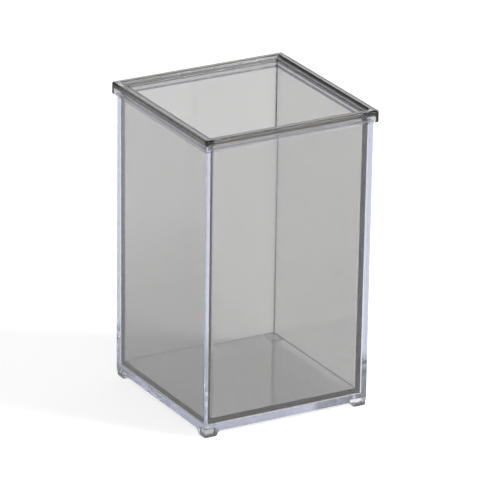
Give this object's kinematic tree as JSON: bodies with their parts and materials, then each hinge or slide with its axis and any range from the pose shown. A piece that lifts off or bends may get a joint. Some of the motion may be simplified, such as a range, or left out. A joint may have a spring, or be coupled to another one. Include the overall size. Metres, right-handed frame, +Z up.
{
  "type": "pen holder",
  "caption": "Tall square see-through pen holder: a clear outer shell on low corner feet, with a smoke-grey liner cup that stands inside it and covers its lip with a channel rim.",
  "frame": {"origin": "centre of the square footprint, at the height of the feet's soles", "axes": "+Z up along the holder's height; X and Y square to its sides, which are all alike"},
  "size_m": [0.0742, 0.0742, 0.1202],
  "materials": {
    "clear_plastic": "clear crystal polystyrene, moulded and polished",
    "smoke_plastic": "smoke-grey tinted crystal polystyrene, moulded and polished"
  },
  "bodies": {
    "shell": {"clear_shell": "clear_plastic"},
    "liner": {"smoke_liner": "smoke_plastic"}
  },
  "joints": [
    {"name": "liner_lift", "type": "slide", "parent": "shell", "child": "liner", "axis": [0, 0, 1], "range_m": [0, 0.115]}
  ]
}
